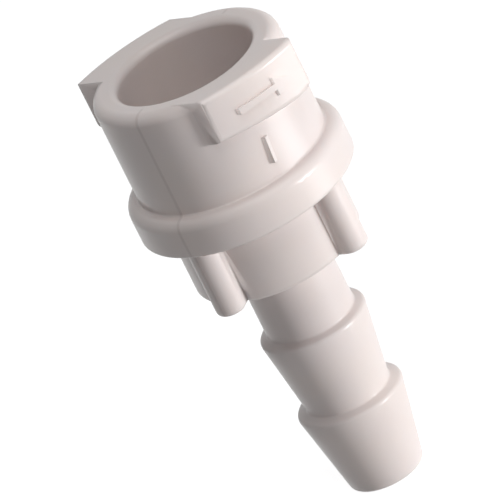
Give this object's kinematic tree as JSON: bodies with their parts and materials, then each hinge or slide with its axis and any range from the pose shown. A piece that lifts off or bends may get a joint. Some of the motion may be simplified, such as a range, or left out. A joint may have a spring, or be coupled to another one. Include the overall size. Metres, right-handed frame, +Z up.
{
  "type": "quick disconnect coupling body",
  "caption": "Small moulded plastic quick disconnect coupling body: round socket with bayonet lugs at its rim, flange, grip ribs and a stepped hose barb.",
  "frame": {"origin": "centre of the socket's mouth, on the coupling's axis", "axes": "+Z up, out of the socket's mouth, with the part standing on the end of its hose barb; the bayonet lugs are on +X and -X, the way the mould opens; +Y is to the side, along the mould's parting line"},
  "size_m": [0.01, 0.0094, 0.0203],
  "materials": {
    "moulded_plastic": "satin, natural off-white, slightly waxy"
  },
  "bodies": {
    "root": {"coupling_body": "moulded_plastic"}
  },
  "joints": []
}
